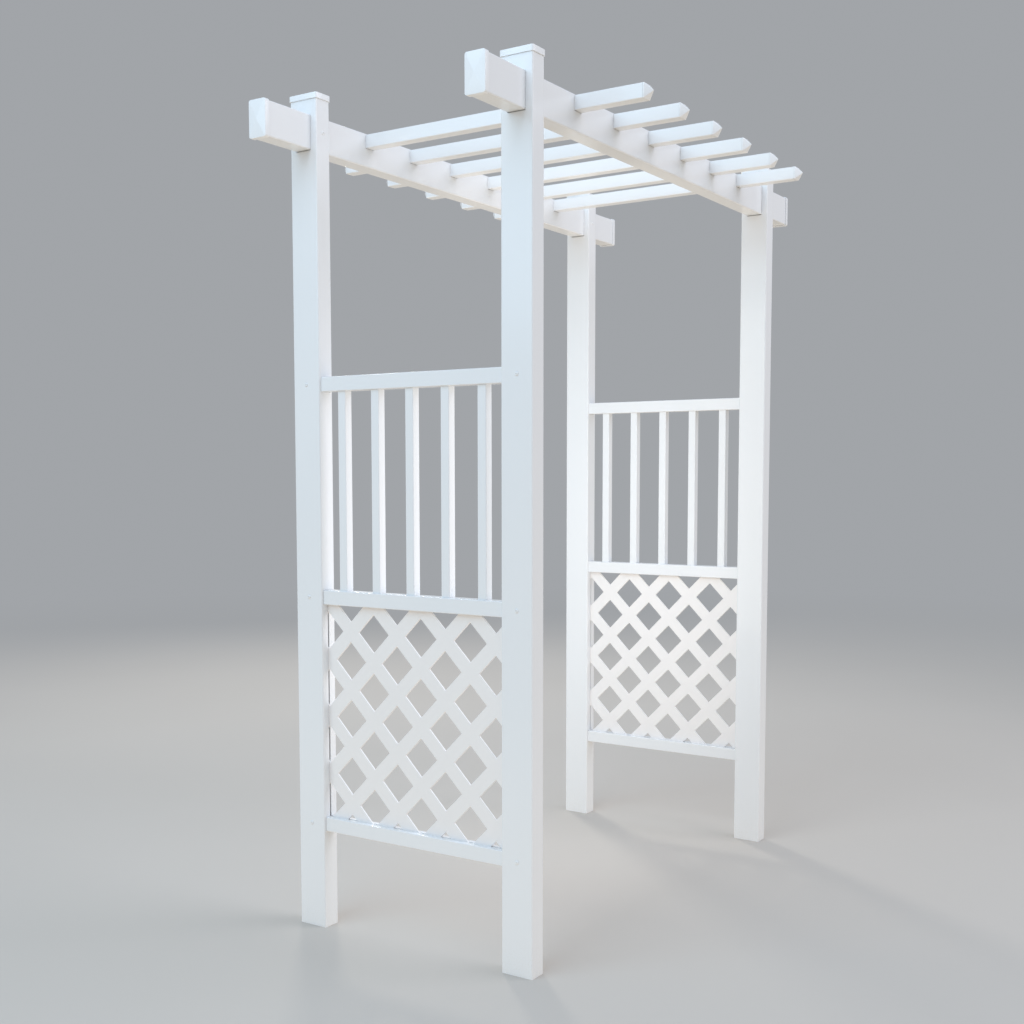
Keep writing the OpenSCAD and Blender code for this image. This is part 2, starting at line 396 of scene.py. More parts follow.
@dataclass(frozen=True)
class MouldedVinyl:
    """Injection-moulded caps: an even fine grain and a slightly brighter white."""

    name: str
    tone: Colour = (0.875, 0.885, 0.90)
    shade: Colour = (0.83, 0.845, 0.865)
    roughness: float = 0.22
    settled_share: float = 0.28
    grain_rate: float = 900.0
    grain_depth: float = 0.00002

    def build(self) -> bpy.types.Material:
        """Builds the material.

        Returns:
            The material.
        """
        g = Shader(self.name)
        grain = g.noise(self.grain_rate, 2.0)
        broad = g.noise(14.0, 3.0)
        settled = g.facing_up().past(0.55, 3.0) * broad.past(0.4, 2.5)
        plain = g.mix(broad, opaque(self.tone), opaque(self.shade))
        colour = g.mix(settled * self.settled_share, plain, opaque(DUST))
        gloss = self.roughness + (grain - 0.5) * 0.06 + settled * 0.25
        return g.finish(Base_Color=colour, Roughness=gloss.limited(), IOR=VINYL_IOR,
                        Normal=g.bump(grain, self.grain_depth, 0.45))


@dataclass(frozen=True)
class SheetVinyl:
    """Flat lattice sheet: matter than the bars, with a fine calendered grain."""

    name: str
    tone: Colour = (0.897, 0.872, 0.864)
    shade: Colour = (0.862, 0.838, 0.83)
    roughness: float = 0.42
    grain_rate: float = 620.0
    grain_depth: float = 0.00004
    ior: float = 1.5

    def build(self) -> bpy.types.Material:
        """Builds the material.

        Returns:
            The material.
        """
        g = Shader(self.name)
        grain = g.noise(self.grain_rate, 3.0, 0.6)
        broad = g.noise(5.0, 3.0)
        streak = g.noise((40.0, 55.0, 2.2), 3.0)
        drift = (broad * 0.7 + streak * 0.3).limited()
        colour = g.mix(drift, opaque(self.tone), opaque(self.shade))
        gloss = self.roughness + (grain - 0.5) * 0.12 + (broad - 0.5) * 0.08
        return g.finish(Base_Color=colour, Roughness=gloss.limited(), IOR=self.ior,
                        Normal=g.bump(grain, self.grain_depth, 0.5))


@dataclass(frozen=True)
class ScrewPaint:
    """White painted screw heads, a little chalky."""

    name: str
    tone: Colour = (0.86, 0.87, 0.88)
    worn: Colour = (0.70, 0.71, 0.72)
    roughness: float = 0.36
    chip_rate: float = 700.0
    chip_depth: float = 0.00006

    def build(self) -> bpy.types.Material:
        """Builds the material.

        Returns:
            The material.
        """
        g = Shader(self.name)
        chips = g.noise(self.chip_rate, 4.0, 0.7)
        wear = chips.past(0.58, 6.0)
        colour = g.mix(wear * 0.4, opaque(self.tone), opaque(self.worn))
        return g.finish(Base_Color=colour, Roughness=(self.roughness + wear * 0.2).limited(),
                        Normal=g.bump(chips, self.chip_depth, 0.5))


@dataclass(frozen=True)
class StudioFloor:
    """Pale floor that throws warm light upwards and runs into the backdrop's colour far away.

    Rays that carry light meet a warmer floor that glows in a wide ring about the object.
    """

    name: str
    tone: Colour
    mottle: Colour
    backdrop: Colour
    bounce: Colour
    glow: Colour
    glow_strength: float
    near: float = 3.0
    far: float = 10.0
    glow_near: float = 1.8
    glow_far: float = 6.5

    def build(self) -> bpy.types.Material:
        """Builds the material.

        Returns:
            The material.
        """
        g = Shader(self.name)
        seen = seen_directly(g)
        shown = g.mix(g.noise(0.7, 3.0), opaque(self.tone), opaque(self.mottle))
        lit = g.node("ShaderNodeBsdfDiffuse", {},
                     {"Color": g.mix(seen, opaque(self.bounce), shown)})
        plain = g.node("ShaderNodeEmission", {},
                       {"Color": opaque(self.backdrop), "Strength": 1.0})
        distance = g.node("ShaderNodeVectorMath", {"operation": "LENGTH"}, {0: g.place}, "Value")
        away = ((distance - self.near) / (self.far - self.near)).limited()
        ring = (distance / self.glow_near).limited() * (1.0 - distance / self.glow_far).limited()
        strength = ring * (1.0 - seen) * self.glow_strength
        warm = g.node("ShaderNodeEmission", {},
                      {"Color": opaque(self.glow), "Strength": strength})
        near = g.node("ShaderNodeAddShader", {}, {0: lit, 1: warm})
        both = g.node("ShaderNodeMixShader", {}, {0: away * seen, 1: near, 2: plain})
        g.node("ShaderNodeOutputMaterial", {}, {"Surface": both})
        g.material.cycles.emission_sampling = "NONE"
        return g.material


# Meshes


def rounded_ring(w: float, h: float, radius: float, z: float) -> list[Vector]:
    """Points of a rectangle with round corners.

    Args:
        w: Size along X.
        h: Size along Y.
        radius: Corner radius.
        z: Height of the ring.

    Returns:
        The points in order.
    """
    radius = min(radius, 0.499 * min(w, h))  # Just under half, so that corners never touch
    points = []
    for corner in range(4):
        sx = (1, -1, -1, 1)[corner]
        sy = (1, 1, -1, -1)[corner]
        for step in range(CORNER_POINTS):
            angle = (corner + step / (CORNER_POINTS - 1)) * QUARTER_TURN
            points.append(Vector((sx * (w / 2 - radius) + radius * math.cos(angle),
                                  sy * (h / 2 - radius) + radius * math.sin(angle), z)))
    return points


def point_rings(w: float, h: float, corner: float, base: float, rise: float,
                steps: Iterable[tuple[float, float]]) -> list[list[Vector]]:
    """Rings of a four-sided point over a rectangle with round corners.

    Args:
        w: Size of the rectangle along X.
        h: Size along Y.
        corner: Corner radius of the rectangle.
        base: Height that the point starts from.
        rise: Height of the whole point.
        steps: The share of the rectangle's size and of the rise for each ring.

    Returns:
        The rings, from the lowest up.
    """
    return [rounded_ring(w * share, h * share, max(corner * share, LEAST_CORNER),
                         base + rise * lift) for share, lift in steps]


def loft(name: str, rings: Sequence[Sequence[Vector]],
         smooth_below: float = 40.0) -> bpy.types.Object:
    """Joins rings of points into one closed shell.

    Args:
        name: Name of the object.
        rings: Rings with as many points each, in order.
        smooth_below: Faces that meet at less than this angle, in degrees, are shaded smooth.

    Returns:
        The object, linked to the scene.
    """
    mesh = bmesh.new()
    loops = [[mesh.verts.new(p) for p in ring] for ring in rings]
    count = len(loops[0])
    for a, b in zip(loops, loops[1:]):
        for i in range(count):
            j = (i + 1) % count
            mesh.faces.new((a[i], a[j], b[j], b[i]))
    mesh.faces.new(list(reversed(loops[0])))
    mesh.faces.new(loops[-1])
    bmesh.ops.recalc_face_normals(mesh, faces=mesh.faces)
    for face in mesh.faces:
        face.smooth = True
    limit = math.radians(smooth_below)
    for edge in mesh.edges:
        edge.smooth = len(edge.link_faces) == 2 and edge.calc_face_angle(0.0) < limit
    data = bpy.data.meshes.new(name)
    mesh.to_mesh(data)
    mesh.free()
    made = bpy.data.objects.new(name, data)
    bpy.context.scene.collection.objects.link(made)
    return made


def box_middle(node: str) -> Vector:
    """The middle of a solid's box."""
    low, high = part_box(node)
    return (low + high) / 2


@dataclass
class Spot:
    """A place for one copy of a shape: where it stands and how it is turned."""

    at: Vector
    across: Vector
    outward: Vector

    def turn(self) -> Vector:
        """The turn from the shape's own axes.

        Returns:
            Euler angles about X, Y and Z.
        """
        z = self.outward.normalized()
        x = self.across.normalized()
        columns = Matrix((x, z.cross(x), z)).transposed()
        return Vector(columns.to_euler())


class GeometryTree(Graph):
    """A geometry node tree with named inputs."""

    def __init__(self, name: str) -> None:
        """Starts a tree.

        Args:
            name: The tree's name.
        """
        super().__init__(bpy.data.node_groups.new(name, "GeometryNodeTree"))
        self.tree.interface.new_socket("Geometry", in_out="OUTPUT",
                                       socket_type="NodeSocketGeometry")
        self.entry = self.tree.nodes.new("NodeGroupInput")
        self.names: dict[str, str] = {}

    def ask(self, name: str, kind: str) -> Value:
        """Adds a named input.

        Args:
            name: The input's name.
            kind: The last part of its socket type, such as Float.

        Returns:
            The input, as a value.
        """
        made = self.tree.interface.new_socket(name, in_out="INPUT",
                                              socket_type="NodeSocket" + kind)
        self.names[name] = made.identifier
        found = next(s for s in self.entry.outputs if s.identifier == made.identifier)
        return Value(self, found)

    def close(self, geometry: Value, material: Value) -> None:
        """Ends the tree with real geometry that has its material.

        Args:
            geometry: The finished shape.
            material: The material's input.
        """
        real = self.node("GeometryNodeRealizeInstances", {}, {"Geometry": geometry})
        dressed = self.node("GeometryNodeSetMaterial", {}, {"Geometry": real, "Material": material})
        self.node("NodeGroupOutput", {}, {0: dressed})

    def grow(self, host: bpy.types.Object, values: dict[str, Any]) -> bpy.types.Object:
        """Runs the tree on an object and keeps the result as a plain mesh.

        Args:
            host: The object that holds the starting points.
            values: The value of each named input.

        Returns:
            The object with its new mesh and no modifier.
        """
        modifier = host.modifiers.new("Grow", "NODES")
        modifier.node_group = self.tree
        for name, value in values.items():
            modifier[self.names[name]] = value
        bpy.context.view_layer.update()
        view = bpy.context.evaluated_depsgraph_get()
        grown = bpy.data.meshes.new_from_object(host.evaluated_get(view), depsgraph=view)
        host.modifiers.remove(modifier)
        host.data = grown
        return host


class CopyTree(GeometryTree):
    """Puts a copy of one shape at every point, with an even random twist where asked."""

    SEED = 7

    def __init__(self) -> None:
        """Builds the tree."""
        super().__init__("copies_on_points")
        points = self.ask("Points", "Geometry")
        shape = self.ask("Shape", "Object")
        twist = self.ask("Twist", "Float")
        seed = self.ask("Seed", "Int")
        material = self.ask("Material", "Material")
        copy = self.node("GeometryNodeObjectInfo", {}, {"Object": shape}, "Geometry")
        angles = self.node("GeometryNodeInputNamedAttribute", {"data_type": "FLOAT_VECTOR"},
                           {"Name": "turn"})
        base = self.node("FunctionNodeEulerToRotation", {}, {0: angles})
        chance = self.node("FunctionNodeRandomValue", {"data_type": "FLOAT"}, {"Seed": seed}, 1)
        own = self.node("FunctionNodeAxisAngleToRotation", {},
                        {"Axis": (0.0, 0.0, 1.0), "Angle": chance * twist})
        turned = self.node("FunctionNodeRotateRotation", {"rotation_space": "LOCAL"},
                           {0: base, 1: own})
        placed = self.node("GeometryNodeInstanceOnPoints", {},
                           {"Points": points, "Instance": copy, "Rotation": turned})
        self.close(placed, material)

    def place(self, name: str, shape: bpy.types.Object, spots: Iterable[Spot],
              material: bpy.types.Material, twist: float = 0.0) -> bpy.types.Object:
        """Makes one piece from copies of a shape.

        Args:
            name: Name of the piece.
            shape: The shape, with its base at its origin and its outward side along Z.
            spots: Where the copies go.
            material: The finish of the piece.
            twist: The largest random turn about the outward direction.

        Returns:
            The piece.
        """
        spots = list(spots)
        data = bpy.data.meshes.new(name)
        data.from_pydata([s.at for s in spots], [], [])
        turns = data.attributes.new("turn", "FLOAT_VECTOR", "POINT")
        turns.data.foreach_set("vector", [angle for s in spots for angle in s.turn()])
        host = bpy.data.objects.new(name, data)
        bpy.context.scene.collection.objects.link(host)
        return self.grow(host, {"Shape": shape, "Twist": twist, "Seed": self.SEED,
                                "Material": material})


# Sub-assemblies


@dataclass
class CoverCap:
    """Cap over the end of a post or a beam: thin skirt, end wall and low four-sided point."""

    width: float = 0.0508
    depth: float = 0.0889
    corner: float = 0.0034
    gap: float = 0.0003
    wall: float = 0.0025
    skirt: float = 0.012
    lead_in: float = 0.0004
    lip_edge: float = 0.0005
    rise: float = 0.004
    edge: float = 0.0009
    edge_steps: int = 4
    point_steps: tuple[tuple[float, float], ...] = ((0.5, 0.5), (0.08, 0.92), (0.02, 0.95))

    def shape(self, name: str) -> bpy.types.Object:
        """Builds one cap about the cut end of its bar.

        Args:
            name: Name of the object.

        Returns:
            The cap, closed, with its hollow open downwards.
        """
        rim = self.gap + self.wall
        outer = (self.width + 2 * rim, self.depth + 2 * rim, self.corner + rim)
        inner = (self.width + 2 * self.gap, self.depth + 2 * self.gap, self.corner + self.gap)
        bottom = -self.skirt

        def ring(size: tuple[float, float, float], inset: float, z: float) -> list[Vector]:
            """One ring of the cap, inset from a section by some length."""
            return rounded_ring(size[0] - 2 * inset, size[1] - 2 * inset, size[2] - inset, z)

        rings = [ring(inner, 0.0, self.gap), ring(inner, 0.0, bottom + self.lead_in),
                 ring(inner, -self.lead_in, bottom), ring(outer, self.lip_edge, bottom),
                 ring(outer, 0.0, bottom + self.lip_edge)]
        for step in range(self.edge_steps + 1):
            angle = step / self.edge_steps * QUARTER_TURN
            rings.append(ring(outer, self.edge * (1 - math.cos(angle)),
                              rim - self.edge * (1 - math.sin(angle))))
        rings += point_rings(*outer, rim, self.rise, self.point_steps)
        return loft(name, rings)


@dataclass
class PointCap:
    """Plug cap of a rafter: collar flush with the bar and a tall four-sided point."""

    width: float = 0.034
    height: float = 0.036
    corner: float = 0.002
    gap: float = 0.0003
    wall: float = 0.0018
    plug_depth: float = 0.012
    plug_corner: float = 0.0006
    collar: float = 0.0035
    seat_edge: float = 0.0003
    rise: float = 0.018
    edge: float = 0.0007
    edge_steps: int = 4
    point_steps: tuple[tuple[float, float], ...] = (
        (0.5, 0.5), (0.12, 0.88), (0.05, 0.95), (0.02, 0.965))

    def shape(self, name: str) -> bpy.types.Object:
        """Builds one cap about the cut end of its bar.

        Args:
            name: Name of the object.

        Returns:
            The cap, closed at its inner end.
        """
        w, h, r, seat = self.width, self.height, self.corner, self.seat_edge
        plug = 2 * (self.wall + self.gap)
        base, top = self.gap, self.gap + self.collar
        rings = [rounded_ring(w - plug, h - plug, self.plug_corner, -self.plug_depth),
                 rounded_ring(w - plug, h - plug, self.plug_corner, base),
                 rounded_ring(w - 2 * seat, h - 2 * seat, r - seat, base),
                 rounded_ring(w, h, r, base + seat), rounded_ring(w, h, r, top - self.edge)]
        slope = math.atan2(self.rise, h / 2)
        for step in range(1, self.edge_steps + 1):
            lean = step / self.edge_steps * (QUARTER_TURN - slope)
            inset = self.edge * math.sin(lean) * math.sin(lean)
            lift = self.edge * math.sin(lean) * math.cos(lean)
            rings.append(rounded_ring(w - 2 * inset, h - 2 * inset, r - inset,
                                      top - self.edge + lift))
        rings += point_rings(w, h, r, top, self.rise, self.point_steps)
        return loft(name, rings, smooth_below=30.0)


@dataclass
class ScrewHead:
    """Low domed screw head with a cross recess and a short length of shank."""

    diameter: float = 0.010
    height: float = 0.0024
    rim_share: float = 0.35
    dome_degrees: tuple[float, ...] = (20.0, 38.0, 54.0, 68.0, 80.0)
    sides: int = 28
    shank: float = 0.004
    reach: float = 0.006
    slot_width: float = 0.0011
    slot_length: float = 0.0046
    slot_depth: float = 0.0013
    slot_floor_share: float = 0.55
    slot_mouth_share: float = 1.15
    mouth_height_share: float = 1.5

    def shape(self, name: str) -> bpy.types.Object:
        """Builds one head on the plane of its seat.

        Args:
            name: Name of the object.

        Returns:
            The screw, with its recess cut.
        """
        radius, dome_share = self.diameter / 2, 1 - self.rim_share
        profile = [(self.shank / 2, -self.reach), (self.shank / 2, 0.0), (radius, 0.0),
                   (radius, self.height * self.rim_share)]
        for angle in map(math.radians, self.dome_degrees):
            profile.append((radius * math.cos(angle),
                            self.height * (self.rim_share + dome_share * math.sin(angle))))
        turns = [2 * math.pi * i / self.sides for i in range(self.sides)]
        head = loft(name, [[Vector((r * math.cos(turn), r * math.sin(turn), z)) for turn in turns]
                           for r, z in profile])
        for turn in (0.0, QUARTER_TURN):
            self._cut(head, turn)
        return head

    def _cut(self, head: bpy.types.Object, turn: float) -> None:
        """Cuts one slot of the cross.

        Args:
            head: The head that is cut.
            turn: The slot's direction about the head's axis.
        """
        floor, mouth = self.height - self.slot_depth, self.height * self.mouth_height_share
        rings = []
        for share, z in ((self.slot_floor_share, floor), (self.slot_mouth_share, mouth)):
            x, y = self.slot_length / 2 * share, self.slot_width / 2
            rings.append([Matrix.Rotation(turn, 3, "Z") @ Vector(p)
                          for p in ((x, y, z), (-x, y, z), (-x, -y, z), (x, -y, z))])
        cutter = loft("slot_cutter", rings)
        modifier = head.modifiers.new("Slot", "BOOLEAN")
        modifier.operation = "DIFFERENCE"
        modifier.solver = "EXACT"
        modifier.object = cutter
        bpy.context.view_layer.update()
        view = bpy.context.evaluated_depsgraph_get()
        slotted = bpy.data.meshes.new_from_object(head.evaluated_get(view), depsgraph=view)
        head.modifiers.remove(modifier)
        head.data = slotted
        bpy.data.objects.remove(cutter)


class SheetTree(GeometryTree):
    """A flat sheet with a diagonal grid of square openings whose edges are softened."""

    def __init__(self) -> None:
        """Builds the tree."""
        super().__init__("lattice_sheet")
        self.ask("Start", "Geometry")
        centre = self.ask("Centre", "Vector")
        length = self.ask("Length", "Float")
        height = self.ask("Height", "Float")
        thickness = self.ask("Thickness", "Float")
        opening = self.ask("Opening", "Float")
        strip = self.ask("Strip", "Float")
        window_middle = self.ask("Window middle", "Vector")
        window_length = self.ask("Window length", "Float")
        window_height = self.ask("Window height", "Float")
        crossing = self.ask("Crossing", "Vector")
        edge = self.ask("Soft edge", "Float")
        count = self.ask("Count", "Int")
        material = self.ask("Material", "Material")

        sheet = self._block(thickness, length, height, centre)
        # With an odd count, every other grid point is a chequerboard about the middle crossing
        half = (opening + strip) / math.sqrt(2)
        span = half * (count - 1.0)
        grid = self.node("GeometryNodeMeshGrid", {}, {"Size X": span, "Size Y": span,
                                                      "Vertices X": count, "Vertices Y": count})
        even = self.node("GeometryNodeInputIndex") % 2.0 < 0.5
        kept = self.node("GeometryNodeDeleteGeometry", {"domain": "POINT"},
                         {"Geometry": grid, "Selection": even})
        upright = self.node("GeometryNodeTransform", {},
                            {"Geometry": kept, "Rotation": (QUARTER_TURN, 0.0, QUARTER_TURN)})
        points = self.node("GeometryNodeTransform", {},
                           {"Geometry": upright, "Translation": crossing})
        diagonal = self.node("FunctionNodeEulerToRotation", {}, {0: (QUARTER_TURN / 2, 0.0, 0.0)})
        cutters = self.node("GeometryNodeInstanceOnPoints", {},
                            {"Points": points, "Instance": self._cutter(thickness, opening, edge),
                             "Rotation": diagonal})
        real = self.node("GeometryNodeRealizeInstances", {}, {"Geometry": cutters})
        # Openings end at the window, which leaves the sheet whole at its outermost rim
        window = self._block(thickness * 6.0, window_length, window_height, window_middle)
        holes = self.node("GeometryNodeMeshBoolean", {"operation": "INTERSECT", "solver": "EXACT"},
                          {1: [real, window]})
        cut = self.node("GeometryNodeMeshBoolean", {"operation": "DIFFERENCE", "solver": "EXACT"},
                        {0: sheet, 1: [holes]})
        self.close(cut, material)

    def _block(self, x: Value, y: Value, z: Value, at: Value) -> Value:
        """A plain block of a size at a place."""
        size = self.node("ShaderNodeCombineXYZ", {}, {0: x, 1: y, 2: z})
        block = self.node("GeometryNodeMeshCube", {}, {"Size": size})
        return self.node("GeometryNodeTransform", {}, {"Geometry": block, "Translation": at})

    def _cutter(self, thickness: Value, opening: Value, edge: Value) -> Value:
        """A square cutter that flares at both faces of the sheet, to soften the opening's edges.

        Args:
            thickness: Thickness of the sheet.
            opening: Clear side of the opening.
            edge: Width of the softened edge.

        Returns:
            The cutter's mesh.
        """
        waist = thickness / 2.0 - edge
        # The block has points at one and three waists on each side: it runs straight between the
        # inner ones and flares at 45 degrees from there to the outer ones
        size = self.node("ShaderNodeCombineXYZ", {}, {0: waist * 6.0, 1: opening, 2: opening})
        block = self.node("GeometryNodeMeshCube", {}, {"Size": size, "Vertices X": 4})
        position = self.node("GeometryNodeInputPosition")
        x = self.node("ShaderNodeSeparateXYZ", {}, {0: position}, 0)
        past = x.magnitude() > (waist * 2.0)
        factor = 1.0 + past * (waist * 4.0) / opening
        stretch = self.node("ShaderNodeCombineXYZ", {}, {0: 1.0, 1: factor, 2: factor})
        flared = self.node("ShaderNodeVectorMath", {"operation": "MULTIPLY"},
                           {0: position, 1: stretch})
        return self.node("GeometryNodeSetPosition", {}, {"Geometry": block, "Position": flared})


@dataclass
class LatticePanel:
    """The lattice sheet of one side, in its grooves."""

    side: Side
    tree: SheetTree
    finish: bpy.types.Material
    strip: float = 0.038
    opening: float = 0.071
    hidden_rim: float = 0.006
    shift_y: float = -0.024
    shift_z: float = -0.014
    soft_edge: float = 0.0006
    grid_count: int = 15

    def build(self) -> bpy.types.Object:
        """Builds the sheet in the place of its solid.

        Returns:
            The sheet.
        """
        node = f"lattice_{self.side.word}"
        low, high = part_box(node)
        window_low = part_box(f"bottom_rail_{self.side.word}")[1].z - self.hidden_rim
        window_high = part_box(f"middle_rail_{self.side.word}")[0].z + self.hidden_rim
        depth = self.inner_length() + 2 * self.hidden_rim
        middle = Vector(((low.x + high.x) / 2, 0.0, (window_low + window_high) / 2))
        name = f"lattice_sheet_{self.side.word}"
        host = bpy.data.objects.new(name, bpy.data.meshes.new(name))
        bpy.context.scene.collection.objects.link(host)
        self.tree.grow(host, {
            "Centre": (low + high) / 2, "Length": high.y - low.y, "Height": high.z - low.z,
            "Thickness": high.x - low.x, "Opening": self.opening, "Strip": self.strip,
            "Window middle": middle, "Window length": depth,
            "Window height": window_high - window_low,
            "Crossing": middle + Vector((0.0, self.shift_y, self.shift_z)),
            "Soft edge": self.soft_edge, "Count": self.grid_count, "Material": self.finish})
        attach(host, BODY)
        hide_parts(node)
        return host

    def inner_length(self) -> float:
        """The clear distance between the two posts of this side."""
        front = End.FRONT.inner(f"post_{self.side.word}_front").y
        return End.REAR.inner(f"post_{self.side.word}_rear").y - front


@dataclass
class Caps:
    """All the caps: on the posts, the beams and the rafters."""

    copies: CopyTree
    finish: bpy.types.Material
    cover: CoverCap = field(default_factory=CoverCap)
    point: PointCap = field(default_factory=PointCap)
    rafter_count: int = 6

    def build(self) -> list[bpy.types.Object]:
        """Builds each group of caps in the place of its solids.

        Returns:
            The three groups.
        """
        cover = self.cover.shape("cover_cap_shape")
        point = self.point.shape("point_cap_shape")
        made = [self._group("post_caps", cover, self.on_posts()),
                self._group("beam_caps", cover, self.on_beams()),
                self._group("rafter_caps", point, self.on_rafters())]
        for helper in (cover, point):
            bpy.data.objects.remove(helper)
        return made

    def _group(self, name: str, shape: bpy.types.Object,
               spots: dict[str, Spot]) -> bpy.types.Object:
        """Places one group of caps.

        Args:
            name: Name of the group.
            shape: The cap that is copied.
            spots: The place of each cap, by the solid that it stands for.

        Returns:
            The group.
        """
        group = self.copies.place(name, shape, spots.values(), self.finish)
        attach(group, BODY)
        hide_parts(*spots)
        return group

    def on_posts(self) -> dict[str, Spot]:
        """The places of the post caps."""
        spots = {}
        for side in Side:
            for end in End:
                post = f"post_{side.word}_{end.word}"
                at = box_middle(post)
                at.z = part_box(post)[1].z
                spots[f"post_cap_{side.word}_{end.word}"] = Spot(at, Axis.X.way(), Axis.Z.way())
        return spots

    def on_beams(self) -> dict[str, Spot]:
        """The places of the beam caps."""
        spots = {}
        for end in End:
            beam = f"beam_{end.word}"
            for side in Side:
                at = box_middle(beam)
                at.x = side.outer(beam).x
                spots[f"beam_cap_{side.word}_{end.word}"] = Spot(
                    at, Axis.Y.way(side.value), Axis.X.way(side.value))
        return spots

    def on_rafters(self) -> dict[str, Spot]:
        """The places of the rafter caps."""
        spots = {}
        for number in range(1, self.rafter_count + 1):
            rafter = f"rafter_{number}"
            for end in End:
                at = box_middle(rafter)
                at.y = end.outer(rafter).y
                spots[f"rafter_cap_{end.word}_{number}"] = Spot(
                    at, Axis.X.way(-end.value), Axis.Y.way(end.value))
        return spots


@dataclass
class Screws:
    """The screws through the posts into the rails and the beams."""

    copies: CopyTree
    finish: bpy.types.Material
    head: ScrewHead = field(default_factory=ScrewHead)

    def build(self) -> list[bpy.types.Object]:
        """Builds both groups of screws in the place of their solids.

        Returns:
            The two groups.
        """
        shape = self.head.shape("screw_shape")
        made = []
        for name, node, spots in (("screws_into_rails", "rail_screws", self.into_rails()),
                                  ("screws_into_beams", "beam_screws", self.into_beams())):
            group = self.copies.place(name, shape, spots, self.finish, math.tau)
            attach(group, BODY)
            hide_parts(node)
            made.append(group)
        bpy.data.objects.remove(shape)
        return made

    def into_rails(self) -> list[Spot]:
        """The places of the screws on the outer faces of the posts."""
        spots = []
        for side in Side:
            outer = side.outer(f"post_{side.word}_front").x
            for level in ("top", "middle", "bottom"):
                height = box_middle(f"{level}_rail_{side.word}").z
                for end in End:
                    at = Vector((outer, box_middle(f"post_{side.word}_{end.word}").y, height))
                    spots.append(Spot(at, Axis.Y.way(), Axis.X.way(side.value)))
        return spots

    def into_beams(self) -> list[Spot]:
        """The places of the screws on the inner faces of the posts."""
        spots = []
        for side in Side:
            for end in End:
                post = f"post_{side.word}_{end.word}"
                height = box_middle(f"beam_{end.word}").z
                at = Vector((box_middle(post).x, end.inner(post).y, height))
                spots.append(Spot(at, Axis.X.way(), Axis.Y.way(-end.value)))
        return spots


@dataclass
class Bars:
    """The hollow bars, which keep their solids and get their finishes."""

    nodes: dict[str, bpy.types.Object]

    def dress(self) -> int:
        """Gives every bar the finish for its direction.

        Returns:
            The number of bars dressed.
        """
        finishes = {
            "post_": ExtrudedVinyl("vinyl_post", Axis.Z),
            "beam_": ExtrudedVinyl("vinyl_beam", Axis.X, line_rate=380.0),
            "rafter_": ExtrudedVinyl("vinyl_rafter", Axis.Y, tone=(0.87, 0.88, 0.895),
                                     line_rate=520.0),
            "baluster_": ExtrudedVinyl("vinyl_baluster", Axis.Z, line_rate=600.0),
            "rail": ExtrudedVinyl("vinyl_rail", Axis.Y, line_rate=480.0),
        }
        made = {key: finish.build() for key, finish in finishes.items()}
        count = 0
        for name, node in self.nodes.items():
            if node.hide_render:
                continue
            key = next((prefix for prefix in made if name.startswith(prefix)), "rail")
            node.data.materials.clear()
            node.data.materials.append(made[key])
            count += 1
        return count


# Stage


@dataclass
class Lamp:
    """A soft rectangular lamp aimed at a point."""

    name: str
    place: tuple[float, float, float]
    aim: tuple[float, float, float]
    size: tuple[float, float]
    power: float
    colour: Colour

    def build(self) -> bpy.types.Object:
        """Builds the lamp.

        Returns:
            The lamp.
        """
        data = bpy.data.lights.new(self.name, "AREA")
        data.shape = "RECTANGLE"
        data.size, data.size_y = self.size
        data.energy = self.power
        data.color = self.colour
        lamp = bpy.data.objects.new(self.name, data)
        lamp.location = self.place
        lamp.visible_camera = False
        direction = Vector(self.aim) - Vector(self.place)
        lamp.rotation_euler = direction.to_track_quat("-Z", "Y").to_euler()
        bpy.context.scene.collection.objects.link(lamp)
        return lamp


